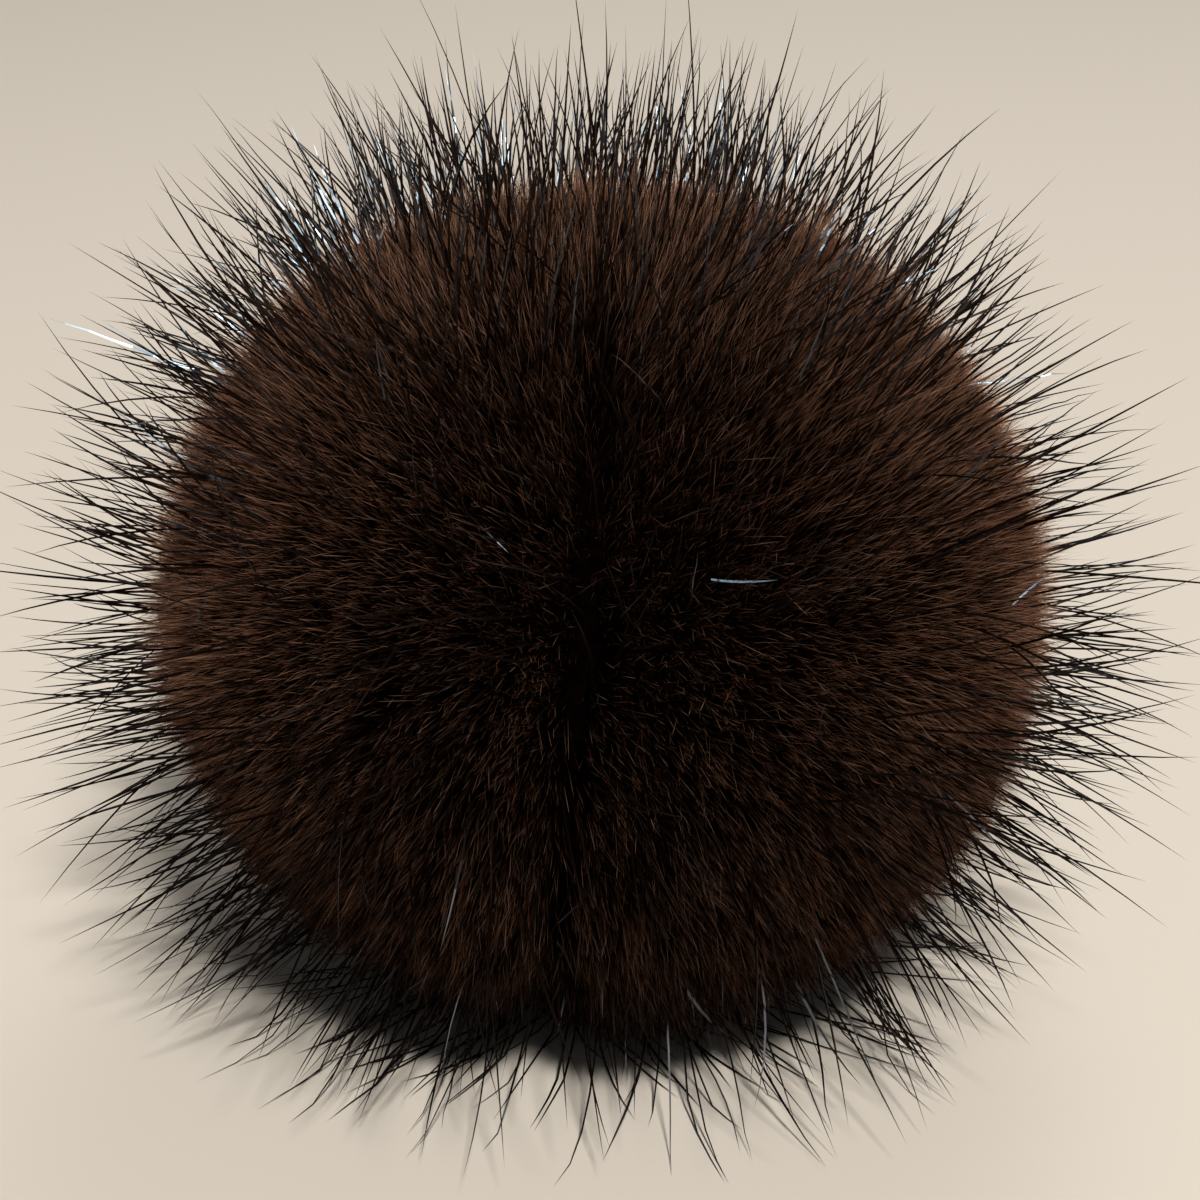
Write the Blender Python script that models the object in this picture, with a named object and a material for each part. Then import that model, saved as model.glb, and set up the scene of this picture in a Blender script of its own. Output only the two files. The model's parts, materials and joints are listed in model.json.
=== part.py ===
"""A fur pom pom: one round ball of plush pile with locks of longer guard hair all over it.

The pelt is gathered into a ball, so the whole pom pom is one piece. It stands on a small flat spot
where its own weight presses the pile. The front, with its parting, faces -Y.
"""

import math
import random

import bmesh
import bpy
from mathutils import Vector, noise

# The dense pile, in metres.
PILE_RADIUS = 0.0300
PILE_HALF_HEIGHT = 0.0282
PRESSED_DEPTH = 0.0018
CENTRE = Vector((0.0, 0.0, PILE_HALF_HEIGHT - PRESSED_DEPTH))
UNEVENNESS = 0.0007
UNEVENNESS_SPAN = 0.016

# The parting, a shallow valley down the front where the fur lies to both sides.
PARTING_DEPTH = 0.0020
PARTING_HALF_WIDTH = 0.0030
PARTING_LEAN = 0.09
PARTING_SHIFT = -0.0018

# The locks of guard hair. Each is drawn out of one face of the pile in rings and ends in a point.
LOCK_SHORTEST = 0.0085
LOCK_LONGEST = 0.0115
LOCK_RINGS = (  # (share of the length, share of the root's width)
    (0.34, 0.62),
    (0.68, 0.32),
)
LOCK_SWEEP = 0.20
LOCK_SWEEP_SPAN = 0.022
LOCK_WANDER = 0.07
LOCK_BEND = 0.0006
LOCK_LOWEST_ROOT = 0.0022
LOCK_CLEARANCE = 0.0008

BALL_SUBDIVISIONS = 4
SEED = 11

FUR_COLOUR = (0.036, 0.020, 0.014, 1.0)
FUR_ROUGHNESS = 0.8


def clear_scene():
    for thing in list(bpy.data.objects):
        bpy.data.objects.remove(thing)


def fur_material():
    material = bpy.data.materials.new("fur")
    material.use_nodes = True
    shader = material.node_tree.nodes["Principled BSDF"]
    shader.inputs["Base Color"].default_value = FUR_COLOUR
    shader.inputs["Roughness"].default_value = FUR_ROUGHNESS
    shader.inputs["Metallic"].default_value = 0.0
    return material


def parting_depth_at(place):
    """How far the pile sinks at a place on the ball: most in the middle of the parting, nothing behind."""
    beside = place.x - PARTING_SHIFT - PARTING_LEAN * (place.z - CENTRE.z)
    across = math.exp(-((beside / PARTING_HALF_WIDTH) ** 2))
    forward = max(0.0, -place.y / PILE_RADIUS)
    return PARTING_DEPTH * across * math.sqrt(forward)


def pile_ball():
    """The plush ball, a little wider than it is high, uneven, with its parting and its flat spot."""
    ball = bmesh.new()
    bmesh.ops.create_icosphere(ball, subdivisions=BALL_SUBDIVISIONS, radius=1.0)
    for corner in ball.verts:
        outward = corner.co.normalized()
        place = CENTRE + Vector((outward.x * PILE_RADIUS, outward.y * PILE_RADIUS, outward.z * PILE_HALF_HEIGHT))
        swell = UNEVENNESS * noise.noise(place / UNEVENNESS_SPAN)
        corner.co = place + outward * (swell - parting_depth_at(place))
        corner.co.z = max(corner.co.z, 0.0)
    return ball


def faces_with_locks(ball, chance):
    """Faces picked in a shuffled order so that no two of them share an edge, and none is pressed flat."""
    order = [face for face in ball.faces if face.calc_center_median().z > LOCK_LOWEST_ROOT]
    chance.shuffle(order)
    picked = set()
    for face in order:
        beside = {other for edge in face.edges for other in edge.link_faces}
        if not beside & picked:
            picked.add(face)
    return sorted(picked, key=lambda face: face.index)


def lock_direction(root, chance):
    """Outward, swept a little to the side as its neighbours are, and with a small lean of its own."""
    sweep = noise.noise_vector(root / LOCK_SWEEP_SPAN) * LOCK_SWEEP
    wander = Vector([chance.uniform(-LOCK_WANDER, LOCK_WANDER) for _ in range(3)])
    return ((root - CENTRE).normalized() + sweep + wander).normalized()


def lock_tip(root, outward, length):
    """Where a lock ends. A low lock that would run into the surface below lies out along it instead."""
    tip = root + outward * length
    if tip.z < LOCK_CLEARANCE:
        drop = root.z - LOCK_CLEARANCE
        sideways = Vector((outward.x, outward.y, 0.0)).normalized()
        tip = root + sideways * math.sqrt(length**2 - drop**2)
        tip.z = LOCK_CLEARANCE
    return tip


def grow_lock(ball, face, chance):
    """One tapered lock: the face is drawn out ring by ring along a gentle bend, then to a point."""
    root = face.calc_center_median()
    outward = lock_direction(root, chance)
    tip = lock_tip(root, outward, chance.uniform(LOCK_SHORTEST, LOCK_LONGEST))
    bow = noise.noise_vector(root / LOCK_SWEEP_SPAN).cross(outward).normalized()
    corners = [corner.co.copy() for corner in face.verts]
    ring = face
    for share, width in LOCK_RINGS:
        ring = bmesh.ops.extrude_discrete_faces(ball, faces=[ring])["faces"][0]
        middle = root.lerp(tip, share) + bow * (LOCK_BEND * 4 * share * (1 - share))
        for corner, place in zip(ring.verts, corners):
            corner.co = middle + (place - root) * width
    point = bmesh.ops.poke(ball, faces=[ring])["verts"][0]
    point.co = tip


def centre_over_origin(ball):
    """Moves the ball so that its box is centred over the origin, with its flat spot at height 0."""
    across = [[corner.co[axis] for corner in ball.verts] for axis in (0, 1)]
    middle = [(min(values) + max(values)) / 2 for values in across]
    bmesh.ops.translate(ball, verts=ball.verts, vec=Vector((-middle[0], -middle[1], 0.0)))


def fur_ball():
    chance = random.Random(SEED)
    ball = pile_ball()
    for face in faces_with_locks(ball, chance):
        grow_lock(ball, face, chance)
    centre_over_origin(ball)
    bmesh.ops.recalc_face_normals(ball, faces=ball.faces)
    mesh = bpy.data.meshes.new("fur_ball")
    ball.to_mesh(mesh)
    ball.free()
    mesh.materials.append(fur_material())
    return bpy.data.objects.new("fur_ball", mesh)


def main():
    clear_scene()
    bpy.context.scene.collection.objects.link(fur_ball())


main()
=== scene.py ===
"""A dark brown fur pom pom: a padded pile body, the fine underfur on it and its long guard hair."""

import json
import math

import bmesh
import bpy
import numpy as np
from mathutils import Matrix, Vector

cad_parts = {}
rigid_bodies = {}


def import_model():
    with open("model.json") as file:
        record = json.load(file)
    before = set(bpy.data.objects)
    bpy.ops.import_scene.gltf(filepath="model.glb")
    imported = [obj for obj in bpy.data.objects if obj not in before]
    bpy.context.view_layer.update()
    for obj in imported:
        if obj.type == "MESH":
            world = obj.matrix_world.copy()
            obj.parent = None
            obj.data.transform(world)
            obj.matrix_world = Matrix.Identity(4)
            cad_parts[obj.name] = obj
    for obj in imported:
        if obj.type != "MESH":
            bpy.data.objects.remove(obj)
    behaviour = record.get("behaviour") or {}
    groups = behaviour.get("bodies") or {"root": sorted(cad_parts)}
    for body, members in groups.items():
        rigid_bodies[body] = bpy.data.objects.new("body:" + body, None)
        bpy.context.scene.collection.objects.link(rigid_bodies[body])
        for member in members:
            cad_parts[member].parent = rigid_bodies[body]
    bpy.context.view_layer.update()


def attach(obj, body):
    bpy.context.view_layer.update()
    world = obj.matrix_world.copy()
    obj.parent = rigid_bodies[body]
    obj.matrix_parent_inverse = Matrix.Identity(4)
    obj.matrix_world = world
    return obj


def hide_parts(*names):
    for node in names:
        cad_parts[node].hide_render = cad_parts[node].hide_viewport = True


MM = 0.001

# The ball of underfur, in metres. Its front, with the parting, faces -Y.
PILE_RADIUS = 30.0 * MM
PILE_HALF_HEIGHT = 28.2 * MM
PILE_CENTRE = np.array((0.0, 0.0, 26.4 * MM))
PILE_RADII = np.array((PILE_RADIUS, PILE_RADIUS, PILE_HALF_HEIGHT))
SKIN_DEPTH = 2.4 * MM
FLOOR_GAP = 0.12 * MM

# The parting, a shallow valley down the front.
PARTING_DEPTH = 1.9 * MM
PARTING_HALF_WIDTH = 2.4 * MM
PARTING_BARE_WIDTH = 0.9 * MM
PARTING_BARE_SHARE = 0.92
PARTING_LEAN = 0.09
PARTING_SHIFT = -1.8 * MM

# The pile stands and leans in tufts of two sizes: (span, how much they stand out, how much they lean, seed).
TUFTS = (
    (0.5 * MM, 0.6, 0.5, 50),
    (1.5 * MM, 0.45, 0.35, 51),
)

FUZZ_PIECES = 4
FUZZ_DEPTH = 2.2 * MM
WISP_DEPTH = 1.5 * MM
STRAY_DEPTH = 0.8 * MM

# Which way one of the three sides of each glossy or stray hair is turned. It is about halfway between
# the key lamp and the camera, so the sparks belong to this view and this light.
BRUSHED_SIDE = (0.06, -0.785, 0.617)

# How thick a strand is at each station from root to tip, as a share of its width.
STRAIGHT_TAPER = np.array((1.0, 0.0))
BLUNT_TAPER = np.array((1.0, 0.8, 0.0))

# The underfur runs from near black at the root to pale brown at the tip: the dark roots are partly painted
# shade deep in the pile. Its dark_to_light ramp carries the painted light and shade set in fuzz() and
# wisps(), as well as tone that differs at random.
FUZZ_TINT = dict(
    root_to_tip=(
        (0.0, (0.002, 0.001, 0.0006)),
        (0.5, (0.009, 0.0038, 0.0022)),
        (0.73, (0.11, 0.049, 0.027)),
        (1.0, (0.70, 0.325, 0.185)),
    ),
    dark_to_light=((0.0, (0.04, 0.04, 0.04)), (0.6, (0.75, 0.75, 0.75)), (1.0, (1.15, 1.15, 1.15))),
    roughness=0.8,
    gloss=0.0,
    tint=(1.0, 0.8, 0.65),
)
WISP_TINT = dict(
    FUZZ_TINT,
    root_to_tip=((0.0, (0.01, 0.005, 0.003)), (0.4, (0.13, 0.066, 0.04)), (1.0, (0.68, 0.39, 0.26))),
)
GUARD_TINT = dict(
    root_to_tip=((0.0, (0.005, 0.002, 0.0012)), (0.6, (0.012, 0.006, 0.004)), (1.0, (0.034, 0.020, 0.015))),
    dark_to_light=((0.0, (0.18, 0.18, 0.18)), (1.0, (1.0, 1.0, 1.0))),
    roughness=0.3,
    gloss=0.06,
    tint=(0.95, 0.97, 1.0),
)
GLOSSY_TINT = dict(GUARD_TINT, roughness=0.26, gloss=0.8, tint=(0.60, 0.82, 1.0))
STRAY_TINT = dict(GUARD_TINT, roughness=0.26, gloss=0.3, tint=(0.55, 0.80, 1.0))
# The pile body is painted near black, as painted shade for the deep fur between the roots.
ROOTS_DARK = (0.0006, 0.0002, 0.0001)
ROOTS_LIGHT = (0.002, 0.0008, 0.0005)

FLOOR_SIZE = 1.5
FLOOR_COLOUR = (0.64, 0.570, 0.482, 1.0)

CAMERA_ELEVATION = math.radians(23)
CAMERA_DISTANCE = 164 * MM
CAMERA_LENS = 72.0

KEY_LAMP = dict(place=(0.19, -0.82, 1.14), size=0.14, watts=23.5, colour=(1.0, 0.99, 0.97))
BACK_LAMP = dict(place=(0.20, 0.85, 0.95), size=0.60, watts=4.0, colour=(1.0, 0.97, 0.93))
ROOM_LIGHT = dict(strength=0.14, colour=(0.93, 0.96, 1.0))


def clear_scene():
    for thing in list(bpy.data.objects):
        bpy.data.objects.remove(thing)


# ---------------------------------------------------------------- soft, even randomness


def unit(vectors):
    return vectors / np.maximum(np.linalg.norm(vectors, axis=1, keepdims=True), 1e-12)


def soft_waves(span, seed, waves=9):
    """The runs and starts of a few random waves, about one span long."""
    chance = np.random.default_rng(seed)
    runs = chance.normal(size=(waves, 3)) * (1.6 / span)
    return runs, chance.uniform(0, 2 * math.pi, waves), 0.6 / math.sqrt(waves / 2)


def soft_noise(places, span, seed):
    """A smooth value from about -1 to 1 at each place, which changes over about one span."""
    runs, starts, share = soft_waves(span, seed)
    return np.sin(places @ runs.T + starts).sum(axis=1) * share


def soft_slope(places, span, seed):
    """Which way that smooth value rises at each place, so that hairs can lean together."""
    runs, starts, share = soft_waves(span, seed)
    return np.cos(places @ runs.T + starts) @ runs * share * span


def soft_drift(places, span, seed):
    """A smooth sideways push at each place."""
    return np.stack([soft_noise(places, span, seed + axis) for axis in range(3)], axis=1)


def even_directions(count, chance, jitter=0.6):
    """Directions spread evenly over the whole ball, each nudged a little."""
    turn = np.arange(count) * math.pi * (3 - math.sqrt(5))
    height = 1 - 2 * (np.arange(count) + 0.5) / count
    flat = np.sqrt(1 - height**2)
    found = np.stack([flat * np.cos(turn), flat * np.sin(turn), height], axis=1)
    found += chance.normal(size=found.shape) * jitter * math.sqrt(4 * math.pi / count) * 0.5
    return unit(found)


# ---------------------------------------------------------------- the shape of the pile


def beside_parting(places):
    """How far each place is to the side of the parting, and how much it faces the front."""
    middle = PARTING_SHIFT + PARTING_LEAN * (places[:, 2] - PILE_CENTRE[2])
    forward = np.clip(-places[:, 1] / PILE_RADIUS, 0, 1)
    return places[:, 0] - middle, np.sqrt(forward)


def pile_surface(directions, depth=0.0):
    """Places on the ball, this far under the tips of its underfur."""
    places = PILE_CENTRE + directions * (PILE_RADII - depth)
    beside, forward = beside_parting(places)
    sink = PARTING_DEPTH * np.exp(-((beside / PARTING_HALF_WIDTH) ** 2)) * forward
    swell = 0.4 * MM * soft_noise(places, 16 * MM, 5) + 0.35 * MM * soft_noise(places, 5 * MM, 6)
    return places + directions * (swell - sink)[:, None]


def hair_lie(places, directions):
    """Which way the fur points: outward, away from the parting, and drifting a little with its neighbours."""
    beside, forward = beside_parting(places)
    away = np.tanh(beside / (1.0 * MM)) * np.exp(-np.abs(beside) / (2.6 * MM)) * forward * 0.26
    lie = unit(directions / PILE_RADII)
    lie[:, 0] += away
    lie += 0.08 * soft_drift(places, 14 * MM, 20)
    return unit(lie)


def tufted(places):
    """Where the pile stands a little higher or lower."""
    return sum(share * soft_noise(places, span, seed) for span, share, _, seed in TUFTS)


def tuft_lean(places):
    """How the strands of a tuft lean towards its middle."""
    return sum(share * soft_slope(places, span, seed) for span, _, share, seed in TUFTS)


def outside_parting(directions, chance):
    """Leaves out most of what would grow right in the parting."""
    beside, forward = beside_parting(pile_surface(directions))
    parted = PARTING_BARE_SHARE * np.exp(-((beside / PARTING_BARE_WIDTH) ** 2)) * forward
    return chance.uniform(size=len(directions)) > parted


def painted_front_shade(directions):
    """How much each place faces the front, from 0 to 1, where the fur is painted darker: painted shade for
    looking down into the pile.
    """
    return np.clip(-directions[:, 1], 0, 1) ** 2


def painted_foot_shade(directions):
    """0 on the upper half of the ball, rising to 1 near its foot, where the fur is painted darker: painted
    shadow under the ball.
    """
    return np.clip((0.1 - directions[:, 2]) / 0.6, 0, 1)


# ---------------------------------------------------------------- one strand, and many


def strand_shape(rings):
    """A three-sided strand of unit length from root to tip, with this many rings between them.

    Gives where each corner lies across it, which station each is at, and the faces.
    """
    strand = bmesh.new()
    bmesh.ops.create_cone(
        strand, cap_ends=True, cap_tris=False, segments=3, radius1=1.0, radius2=0.0, depth=1.0
    )
    bmesh.ops.translate(strand, verts=strand.verts, vec=Vector((0, 0, 0.5)))
    for ring in range(1, rings + 1):
        everything = strand.verts[:] + strand.edges[:] + strand.faces[:]
        bmesh.ops.bisect_plane(
            strand, geom=everything, plane_co=(0, 0, ring / (rings + 1)), plane_no=(0, 0, 1)
        )
    bmesh.ops.triangulate(strand, faces=strand.faces)
    bmesh.ops.recalc_face_normals(strand, faces=strand.faces)
    strand.verts.index_update()
    corners = np.array([corner.co for corner in strand.verts])
    faces = np.array([[corner.index for corner in face.verts] for face in strand.faces])
    strand.free()
    station = np.rint(corners[:, 2] * (rings + 1)).astype(int)
    across = corners[:, :2] / np.maximum(1 - corners[:, 2:], 1e-6)
    across[station == rings + 1] = 0
    return across, station, faces


def grow_strands(name, lines, width, profile, shade, material, chance, flat_side=None):
    """One joined mesh of strands, each with flat sides that catch the light one at a time.

    lines holds each strand's places from root to tip, width its thickness, profile the share of that
    at each station, and shade where it lies across the fur's map, from dark to light. flat_side is
    which way one of each strand's three sides is turned, or nothing where that is left to chance.
    """
    count, stations = lines.shape[:2]
    across, station, faces = strand_shape(stations - 2)
    along = unit(lines[:, -1] - lines[:, 0])
    turned = chance.normal(size=along.shape)
    if flat_side is not None:
        turned = np.array(flat_side) + 0.08 * turned
    side = unit(np.cross(along, turned))
    up = np.cross(along, side)
    reach = width[:, None] * profile[station][None, :] / 2
    spots = lines[:, station]
    spots = spots + (reach * across[:, 0])[:, :, None] * side[:, None]
    spots = spots + (reach * across[:, 1])[:, :, None] * up[:, None]
    spots[:, :, 2] = np.maximum(spots[:, :, 2], FLOOR_GAP / 2)
    shift = np.arange(count)[:, None, None] * len(across)
    all_faces = (faces[None] + shift).reshape(-1, 3)

    mesh = bpy.data.meshes.new(name)
    mesh.vertices.add(count * len(across))
    mesh.vertices.foreach_set("co", spots.reshape(-1).astype(np.float32))
    mesh.loops.add(all_faces.size)
    mesh.loops.foreach_set("vertex_index", all_faces.reshape(-1).astype(np.int32))
    mesh.polygons.add(len(all_faces))
    mesh.polygons.foreach_set("loop_start", np.arange(0, all_faces.size, 3, dtype=np.int32))
    mesh.polygons.foreach_set("use_smooth", np.zeros(len(all_faces), dtype=bool))
    mesh.update(calc_edges=True)

    # The map runs from dark to light one way and from root to tip the other. The flat end at a root
    # keeps a little width on it.
    skew = 0.5 + 0.28 * across[:, 0] + 0.2 * across[:, 1]
    from_root = station / (stations - 1)
    from_root = np.where(station == 0, 0.004 + 0.004 * across[:, 1], from_root)
    u = 0.01 + 0.95 * shade[:, None] + 0.02 * skew[None, :]
    v = np.broadcast_to(from_root, u.shape)
    corner_uv = np.stack([u.reshape(-1), v.reshape(-1)], axis=1)[all_faces.reshape(-1)]
    layer = mesh.uv_layers.new(name="OFBake")
    layer.data.foreach_set("uv", corner_uv.reshape(-1).astype(np.float32))
    mesh.materials.append(material)
    strands = bpy.data.objects.new(name, mesh)
    bpy.context.scene.collection.objects.link(strands)
    return strands


def curved_lines(roots, lie, length, bow, stations):
    """Each strand's places from root to tip: along its lie, with a bow that grows towards the tip."""
    share = np.linspace(0, 1, stations)[None, :, None]
    straight = roots[:, None] + lie[:, None] * length[:, None, None] * share
    return straight + bow[:, None] * length[:, None, None] * share**2


def lay_on_floor(lines):
    """Where a strand would pass through what it stands on, it lies out along it, as long as before."""
    laid = lines.copy()
    steps = np.diff(lines, axis=1)
    for station in range(steps.shape[1]):
        step = steps[:, station].copy()
        reach = np.linalg.norm(step, axis=1)
        start = laid[:, station]
        start[:, 2] = np.maximum(start[:, 2], FLOOR_GAP)
        next_height = np.maximum(start[:, 2] + step[:, 2], FLOOR_GAP)
        rise = next_height - start[:, 2]
        pressed = rise > step[:, 2] + 1e-9
        splay = 0.35 * reach[:, None] * pressed[:, None] * unit(start[:, :2] + 1e-9)
        run = np.sqrt(np.maximum(reach**2 - rise**2, 0))
        flat = np.where(pressed[:, None], unit(step[:, :2] + 1e-7 + splay) * run[:, None], step[:, :2])
        laid[:, station + 1, :2] = start[:, :2] + flat
        laid[:, station + 1, 2] = next_height
    return laid


def hair_taper(stations):
    """A guard hair is thickest past its middle and comes to a fine point."""
    share = np.linspace(0, 1, stations)
    return (0.6 + 0.5 * share) * (1 - share**2.5)


# ---------------------------------------------------------------- the fur's finishes


def ramp(nodes, stops):
    """A colour ramp through (place, colour) stops."""
    band = nodes.new("ShaderNodeValToRGB")
    elements = band.color_ramp.elements
    while len(elements) > 1:
        elements.remove(elements[-1])
    elements[0].position, elements[0].color = stops[0][0], (*stops[0][1], 1.0)
    for place, colour in stops[1:]:
        elements.new(place).color = (*colour, 1.0)
    return band


def fur_finish(name, root_to_tip, dark_to_light, roughness, gloss, tint):
    """A finish that goes from root to tip along each strand and from dark to light between strands."""
    material = bpy.data.materials.new(name)
    material.use_nodes = True
    nodes, links = material.node_tree.nodes, material.node_tree.links
    shader = nodes["Principled BSDF"]
    place = nodes.new("ShaderNodeUVMap")
    place.uv_map = "OFBake"
    apart = nodes.new("ShaderNodeSeparateXYZ")
    links.new(place.outputs["UV"], apart.inputs["Vector"])
    along = ramp(nodes, root_to_tip)
    links.new(apart.outputs["Y"], along.inputs["Fac"])
    between = ramp(nodes, dark_to_light)
    links.new(apart.outputs["X"], between.inputs["Fac"])
    blend = nodes.new("ShaderNodeMix")
    blend.data_type = "RGBA"
    blend.blend_type = "MULTIPLY"
    blend.inputs["Factor"].default_value = 1.0
    links.new(along.outputs["Color"], blend.inputs["A"])
    links.new(between.outputs["Color"], blend.inputs["B"])
    links.new(blend.outputs["Result"], shader.inputs["Base Color"])
    shader.inputs["Roughness"].default_value = roughness
    shader.inputs["Specular IOR Level"].default_value = gloss
    shader.inputs["Specular Tint"].default_value = (*tint, 1.0)
    shader.inputs["IOR"].default_value = 1.5
    return material


def root_shade_finish():
    """The floor of the pile, between the roots, painted near black: painted shade for the deep fur."""
    material = bpy.data.materials.new("pile_roots")
    material.use_nodes = True
    nodes, links = material.node_tree.nodes, material.node_tree.links
    shader = nodes["Principled BSDF"]
    place = nodes.new("ShaderNodeTexCoord")
    tufts = nodes.new("ShaderNodeTexNoise")
    tufts.inputs["Scale"].default_value = 1300.0
    tufts.inputs["Detail"].default_value = 4.0
    links.new(place.outputs["Object"], tufts.inputs["Vector"])
    colour = ramp(nodes, ((0.35, ROOTS_DARK), (0.7, ROOTS_LIGHT)))
    links.new(tufts.outputs["Fac"], colour.inputs["Fac"])
    links.new(colour.outputs["Color"], shader.inputs["Base Color"])
    bump = nodes.new("ShaderNodeBump")
    bump.inputs["Strength"].default_value = 0.9
    bump.inputs["Distance"].default_value = 0.6 * MM
    links.new(tufts.outputs["Fac"], bump.inputs["Height"])
    links.new(bump.outputs["Normal"], shader.inputs["Normal"])
    shader.inputs["Roughness"].default_value = 0.95
    shader.inputs["Specular IOR Level"].default_value = 0.0
    return material


# ---------------------------------------------------------------- the pieces


def pile_body():
    """The padded body that the fur grows on."""
    ball = bmesh.new()
    bmesh.ops.create_icosphere(ball, subdivisions=6, radius=1.0)
    directions = unit(np.array([corner.co for corner in ball.verts]))
    places = pile_surface(directions, SKIN_DEPTH)
    places += directions * (0.25 * MM * soft_noise(places, 1.4 * MM, 9))[:, None]
    places[:, 2] = np.maximum(places[:, 2], 0.3 * MM)
    for corner, place in zip(ball.verts, places):
        corner.co = place
    bmesh.ops.recalc_face_normals(ball, faces=ball.faces)
    for face in ball.faces:
        face.smooth = True
    mesh = bpy.data.meshes.new("pile_body")
    ball.to_mesh(mesh)
    ball.free()
    mesh.materials.append(root_shade_finish())
    body = bpy.data.objects.new("pile_body", mesh)
    bpy.context.scene.collection.objects.link(body)
    return body


def foot_fur(name, strands, seed, material):
    """Dark strands around the flat foot, pressed out along whatever the ball stands on."""
    chance = np.random.default_rng(seed)
    directions = even_directions(strands, chance)
    directions = directions[directions[:, 2] < chance.normal(-0.55, 0.04, strands)]
    count = len(directions)
    roots = pile_surface(directions, SKIN_DEPTH + 0.3 * MM)
    lean = 0.14 * soft_drift(roots, 3 * MM, 40) + chance.normal(size=(count, 3)) * 0.2
    length = SKIN_DEPTH + MM * chance.triangular(0.0, 0.8, 2.8, count)
    lie = unit(hair_lie(roots, directions) + lean)
    lines = lay_on_floor(curved_lines(roots, lie, length, lean * 0.3, len(BLUNT_TAPER)))
    width = 0.20 * MM * chance.uniform(0.7, 1.25, count)
    shade = chance.uniform(0, 1, count)
    return grow_strands(name, lines, width, BLUNT_TAPER, shade, material, chance)


def fuzz(name, strands, seed, material):
    """The fine brown ends of the underfur, which soften the ball's edge. They stop short of its foot."""
    chance = np.random.default_rng(seed)
    directions = even_directions(strands, chance)
    above_foot = directions[:, 2] + 0.05 * soft_noise(pile_surface(directions), 4 * MM, 80)
    above_foot = above_foot > chance.normal(-0.63, 0.03, strands)
    directions = directions[above_foot & outside_parting(directions, chance)]
    count = len(directions)
    roots = pile_surface(directions) - directions * FUZZ_DEPTH
    high = tufted(roots)
    lean = 0.13 * tuft_lean(roots) + chance.normal(size=(count, 3)) * 0.09
    rise = chance.normal(-0.15, 0.35, count) + chance.exponential(0.4, count) + 0.4 * high
    length = np.maximum(FUZZ_DEPTH + MM * rise, 0.6 * MM)
    lie = unit(hair_lie(roots, directions) + lean)
    lines = lay_on_floor(curved_lines(roots, lie, length, lean * 0.4, len(STRAIGHT_TAPER)))
    width = 0.05 * MM * chance.uniform(0.7, 1.3, count)
    # Painted light and shade on top of tone that differs at random: paler on taller tufts, the crown, the
    # sides
    # and most on the right, and darker in front, where one looks down into the pile, and towards the foot.
    shade = 0.42 + 0.18 * high + 0.12 * soft_noise(roots, 3 * MM, 60) + 0.18 * chance.normal(size=count)
    shade += 0.35 * np.clip(directions[:, 2], 0, 1)
    shade += 0.27 * np.abs(directions[:, 0]) + 0.08 * directions[:, 0]
    shade -= 0.36 * painted_front_shade(directions)
    shade *= 1 - 0.62 * painted_foot_shade(directions)
    return grow_strands(name, lines, width, STRAIGHT_TAPER, shade.clip(0, 1), material, chance)


def wisps(name, strands, seed, material):
    """The longest and finest ends of the underfur, a thin haze around the ball."""
    chance = np.random.default_rng(seed)
    directions = even_directions(strands, chance)
    above_foot = directions[:, 2] > chance.normal(-0.5, 0.05, strands)
    directions = directions[above_foot & outside_parting(directions, chance)]
    count = len(directions)
    roots = pile_surface(directions, WISP_DEPTH)
    lean = 0.06 * soft_drift(roots, 4 * MM, 85) + chance.normal(size=(count, 3)) * 0.11
    high = np.clip(directions[:, 2], 0, 1)
    length = MM * (1.9 + chance.exponential(0.7, count).clip(0, 2.4) * (1 + 0.9 * high) + 0.3 * high)
    lie = unit(hair_lie(roots, directions) + lean)
    lines = curved_lines(roots, lie, length, lean * 0.4, len(STRAIGHT_TAPER))
    width = 0.055 * MM * chance.uniform(0.7, 1.3, count)
    # Painted light and shade: the wisps are painted paler on the crown and darker in front and towards the
    # foot.
    shade = 0.55 + 0.3 * high - 0.42 * painted_front_shade(directions) + 0.15 * chance.normal(size=count)
    shade *= 1 - 0.75 * painted_foot_shade(directions)
    return grow_strands(name, lines, width, STRAIGHT_TAPER, shade.clip(0, 1), material, chance)


def hairs_kept(directions, chance):
    """Which hairs stay: most on the crown, fewer low in front and high at the sides, and unevenly."""
    side, height = np.abs(directions[:, 0]), directions[:, 2]
    front = np.clip(-directions[:, 1] - 0.45, 0, 0.4) / 0.4
    low_front = front * np.exp(-(((height + 0.42) / 0.26) ** 2))
    low_side = side * np.exp(-(((height + 0.4) / 0.35) ** 2))
    high_side = side * np.exp(-(((height - 0.35) / 0.3) ** 2))
    left = np.clip(-directions[:, 0], 0, 1)
    crown = np.clip((height - 0.6) / 0.3, 0, 1)
    uneven = soft_noise(directions * PILE_RADIUS, 6 * MM, 90)
    gone = 0.57 + 0.4 * low_front - 0.12 * low_side + 0.33 * high_side - 0.17 * left - 0.16 * crown
    gone += 0.22 * uneven
    return chance.uniform(size=len(directions)) > gone


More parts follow.
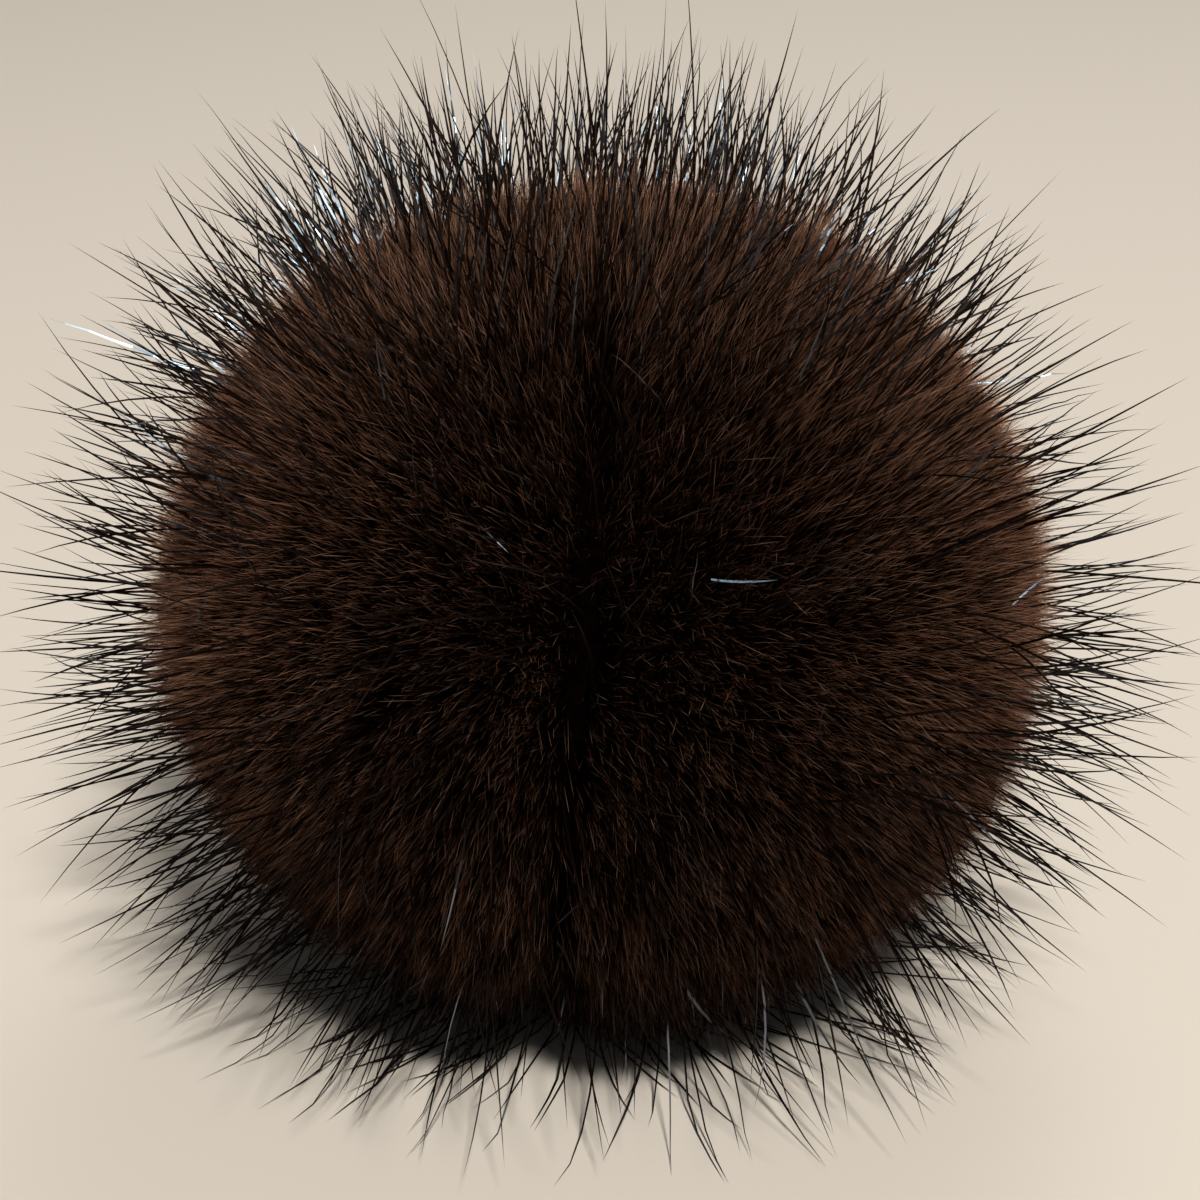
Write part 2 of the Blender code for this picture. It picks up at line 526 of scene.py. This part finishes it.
def guard_hair(
    name, strands, seed, material, tip_reach, thick, stations=7, lowest=-1.0, kink=0.0, flat_side=None
):
    """Long tapered hairs that stand out of the underfur in loose tufts.

    tip_reach is how far past the skin the shortest and longest tips come. With a kink, the light
    breaks up along each hair.
    """
    chance = np.random.default_rng(seed)
    directions = even_directions(strands, chance, jitter=1.2)
    directions = directions[hairs_kept(directions, chance) & (directions[:, 2] > lowest)]
    count = len(directions)
    roots = pile_surface(directions, SKIN_DEPTH)
    low, high = tip_reach
    length = SKIN_DEPTH + chance.triangular(low, (low + 2 * high) / 3, high, count)
    gather = 0.13 * soft_drift(roots, 5 * MM, 70) + 0.07 * soft_slope(roots, 1.8 * MM, 75)
    stray = 0.13 * chance.normal(size=(count, 3))
    bow = 0.4 * gather + 0.10 * chance.normal(size=(count, 3))
    lie = unit(hair_lie(roots, directions) + gather + stray)
    lines = curved_lines(roots, lie, length, bow, stations)
    lines[:, 1:-1] += kink * chance.normal(size=(count, stations - 2, 3))
    lines = lay_on_floor(lines)
    width = thick * chance.uniform(0.65, 1.2, count)
    # Painted light and shade: the hair is painted paler towards the crown, standing in for light on the upper
    # hair, and darker low down, with tone that differs at random.
    shade = 0.1 + 0.7 * np.clip((directions[:, 2] + 0.1) / 0.8, 0, 1) + 0.15 * chance.normal(size=count)
    return grow_strands(
        name, lines, width, hair_taper(stations), shade.clip(0, 1), material, chance, flat_side
    )


def stray_hair(name, strands, seed, material, stations=7):
    """A few loose hairs that lie across the pile."""
    chance = np.random.default_rng(seed)
    directions = even_directions(strands, chance, jitter=1.5)
    roots = pile_surface(directions, STRAY_DEPTH)
    across = unit(np.cross(directions, chance.normal(size=(strands, 3))))
    lie = unit(directions * chance.uniform(0.15, 0.9, strands)[:, None] + across)
    length = MM * chance.uniform(1.8, 3.8, strands)
    bow = directions * chance.uniform(-0.2, 0.1, strands)[:, None] + 0.25 * chance.normal(size=(strands, 3))
    lines = lay_on_floor(curved_lines(roots, lie, length, bow, stations))
    width = 0.18 * MM * chance.uniform(0.7, 1.2, strands)
    shade = chance.uniform(0, 1, strands)
    return grow_strands(name, lines, width, hair_taper(stations), shade, material, chance, BRUSHED_SIDE)


def build_fur():
    body = pile_body()
    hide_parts("fur_ball")
    pieces = [body]
    brown = fur_finish("fuzz", **FUZZ_TINT)
    pale = fur_finish("wisps", **WISP_TINT)
    dull = fur_finish("guard_hair", **GUARD_TINT)
    glossy = fur_finish("glossy_guard_hair", **GLOSSY_TINT)
    bright = fur_finish("stray_hair", **STRAY_TINT)
    for part in range(FUZZ_PIECES):
        pieces.append(fuzz(f"fuzz_{part + 1}", strands=51000, seed=110 + part, material=brown))
    pieces.append(wisps("wisps", strands=31000, seed=120, material=pale))
    pieces.append(foot_fur("foot_fur", strands=30000, seed=100, material=dull))
    pieces.append(
        guard_hair(
            "guard_hair_long",
            strands=4700,
            seed=200,
            material=dull,
            tip_reach=(5.0 * MM, 12.5 * MM),
            thick=0.24 * MM,
        )
    )
    pieces.append(
        guard_hair(
            "guard_hair_glossy",
            strands=3600,
            seed=203,
            material=glossy,
            tip_reach=(3.5 * MM, 10.0 * MM),
            thick=0.22 * MM,
            stations=12,
            lowest=0.35,
            kink=0.035 * MM,
            flat_side=BRUSHED_SIDE,
        )
    )
    pieces.append(
        guard_hair(
            "guard_hair_short",
            strands=2400,
            seed=201,
            material=dull,
            tip_reach=(1.5 * MM, 8.0 * MM),
            thick=0.16 * MM,
            stations=6,
        )
    )
    pieces.append(stray_hair("stray_hair", strands=44, seed=206, material=bright))
    for piece in pieces:
        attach(piece, "root")


# ---------------------------------------------------------------- floor, light and camera


def plain_floor():
    sheet = bmesh.new()
    bmesh.ops.create_grid(sheet, x_segments=1, y_segments=1, size=FLOOR_SIZE)
    mesh = bpy.data.meshes.new("floor")
    sheet.to_mesh(mesh)
    sheet.free()
    material = bpy.data.materials.new("floor")
    material.use_nodes = True
    shader = material.node_tree.nodes["Principled BSDF"]
    shader.inputs["Base Color"].default_value = FLOOR_COLOUR
    shader.inputs["Roughness"].default_value = 0.7
    mesh.materials.append(material)
    floor = bpy.data.objects.new("floor", mesh)
    bpy.context.scene.collection.objects.link(floor)


def round_lamp(name, place, size, watts, colour, target=(0, 0, 0.026)):
    """A round lamp, this wide, turned towards the ball."""
    lamp = bpy.data.lights.new(name, "AREA")
    lamp.shape = "DISK"
    lamp.size = size
    lamp.energy = watts
    lamp.color = colour
    light = bpy.data.objects.new(name, lamp)
    light.location = place
    light.rotation_euler = (Vector(target) - Vector(place)).to_track_quat("-Z", "Y").to_euler()
    bpy.context.scene.collection.objects.link(light)


def room_light(strength, colour):
    world = bpy.data.worlds.new("room")
    world.use_nodes = True
    back = world.node_tree.nodes["Background"]
    back.inputs["Color"].default_value = (*colour, 1.0)
    back.inputs["Strength"].default_value = strength
    bpy.context.scene.world = world


def photographer():
    """The camera, a little above the ball and straight in front of it."""
    aim = Vector(PILE_CENTRE)
    place = aim + CAMERA_DISTANCE * Vector((0.0, -math.cos(CAMERA_ELEVATION), math.sin(CAMERA_ELEVATION)))
    lens = bpy.data.cameras.new("camera")
    lens.lens = CAMERA_LENS
    lens.clip_start = 0.01
    camera = bpy.data.objects.new("camera", lens)
    camera.location = place
    camera.rotation_euler = (aim - place).to_track_quat("-Z", "Y").to_euler()
    bpy.context.scene.collection.objects.link(camera)
    bpy.context.scene.camera = camera


clear_scene()
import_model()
build_fur()
plain_floor()
round_lamp("key", **KEY_LAMP)
round_lamp("back", **BACK_LAMP)
room_light(**ROOM_LIGHT)
photographer()
bpy.context.scene.view_settings.view_transform = "Standard"
